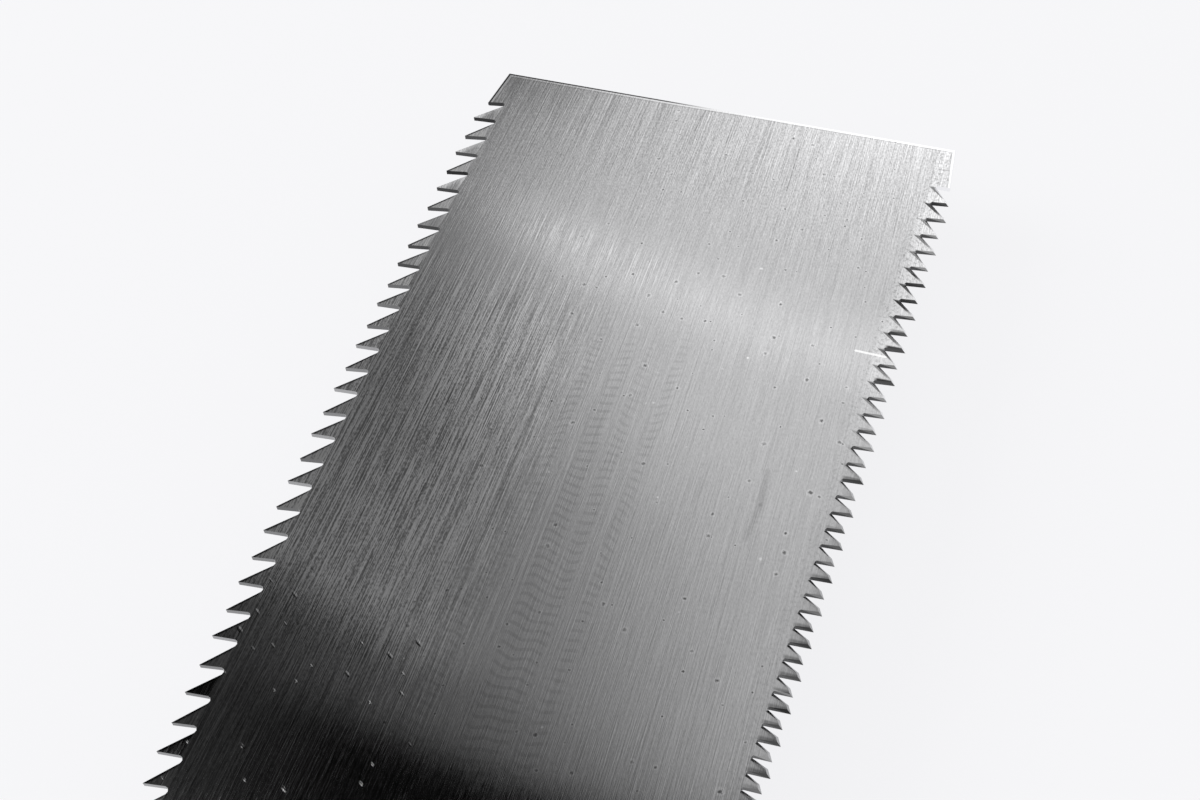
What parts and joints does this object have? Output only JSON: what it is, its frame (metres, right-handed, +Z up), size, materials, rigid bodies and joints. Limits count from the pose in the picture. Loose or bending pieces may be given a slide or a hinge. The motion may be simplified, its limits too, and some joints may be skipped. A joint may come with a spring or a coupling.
{
  "type": "ryoba saw",
  "caption": "Two-edged pull saw: a thin tapered steel blade with rip teeth on one edge and crosscut teeth on the other, held by a screw clamp in an oval cane-bound wooden handle.",
  "frame": {"origin": "on the surface the saw lies on, under the middle of its length and width", "axes": "+X along the saw towards the toe of the blade, +Y towards the rip edge, +Z up, square to the blade"},
  "size_m": [0.5044, 0.0643, 0.0288],
  "materials": {
    "blade_steel": "ground lengthwise, satin",
    "clamp_steel": "satin",
    "screw_plate": "nickel plate",
    "collar_steel": "blued, semi-gloss",
    "handle_wood": "oiled",
    "cane": "natural skin, varnished",
    "butt_cap": "semi-gloss"
  },
  "bodies": {
    "handle": {"handle_core_upper": "handle_wood", "handle_core_lower": "handle_wood", "handle_pin_front": "screw_plate", "handle_pin_rear": "screw_plate", "front_ferrule": "collar_steel", "rear_collar": "collar_steel", "cane_wrap": "cane", "butt_cap": "butt_cap", "clamp_cheek_upper": "clamp_steel", "clamp_cheek_lower": "clamp_steel", "clamp_spacer_rip": "clamp_steel", "clamp_spacer_crosscut": "clamp_steel", "clamp_rivet_1": "clamp_steel", "clamp_rivet_2": "clamp_steel", "clamp_rivet_3": "clamp_steel", "clamp_rivet_4": "clamp_steel", "lock_nut": "screw_plate"},
    "blade": {"blade": "blade_steel"},
    "washer": {"lock_washer": "screw_plate"},
    "screw": {"lock_screw": "screw_plate"}
  },
  "joints": [
    {"name": "blade_release", "type": "slide", "parent": "handle", "child": "blade", "axis": [1, 0, 0], "range_m": [0, 0.042]},
    {"name": "washer_lift", "type": "slide", "parent": "handle", "child": "washer", "axis": [0, 0, 1], "range_m": [0, 0.0016]},
    {"name": "lock_screw_turn", "type": "hinge", "parent": "washer", "child": "screw", "pos_m": [0.0118, 0, 0.0144], "axis": [0, 0, 1], "range_deg": [0, 720]}
  ],
  "couplings": [
    {"joint": "lock_screw_turn", "follows": "washer_lift", "rad_per_m": 7854}
  ]
}
